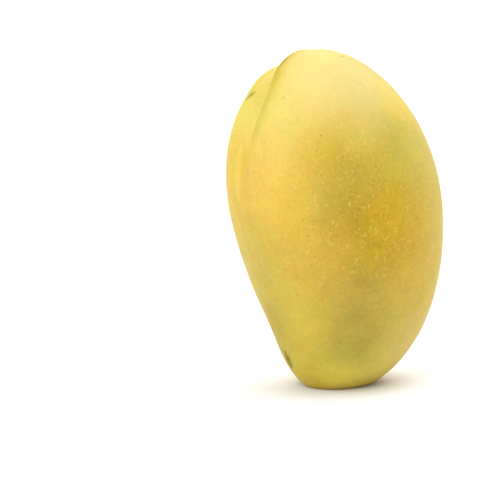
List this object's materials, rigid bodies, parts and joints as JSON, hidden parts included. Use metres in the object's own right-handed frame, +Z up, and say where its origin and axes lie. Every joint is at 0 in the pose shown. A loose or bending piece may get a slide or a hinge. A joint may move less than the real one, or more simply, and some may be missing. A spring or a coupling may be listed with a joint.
{
  "type": "mango",
  "caption": "Whole ripe mango standing on its blossom end, with a furrow down its ventral shoulder, a stem scar on top and a small flat spot to rest on.",
  "frame": {"origin": "on the surface that the fruit stands on, under the middle of its box", "axes": "+Z up, from the blossom end to the stem end; -X toward the ventral edge with the furrow; -Y and +Y toward the two cheeks"},
  "size_m": [0.0756, 0.0666, 0.1163],
  "materials": {
    "skin": "smooth waxy fruit skin, golden yellow with faint orange and green areas"
  },
  "bodies": {
    "root": {"mango": "skin"}
  },
  "joints": []
}
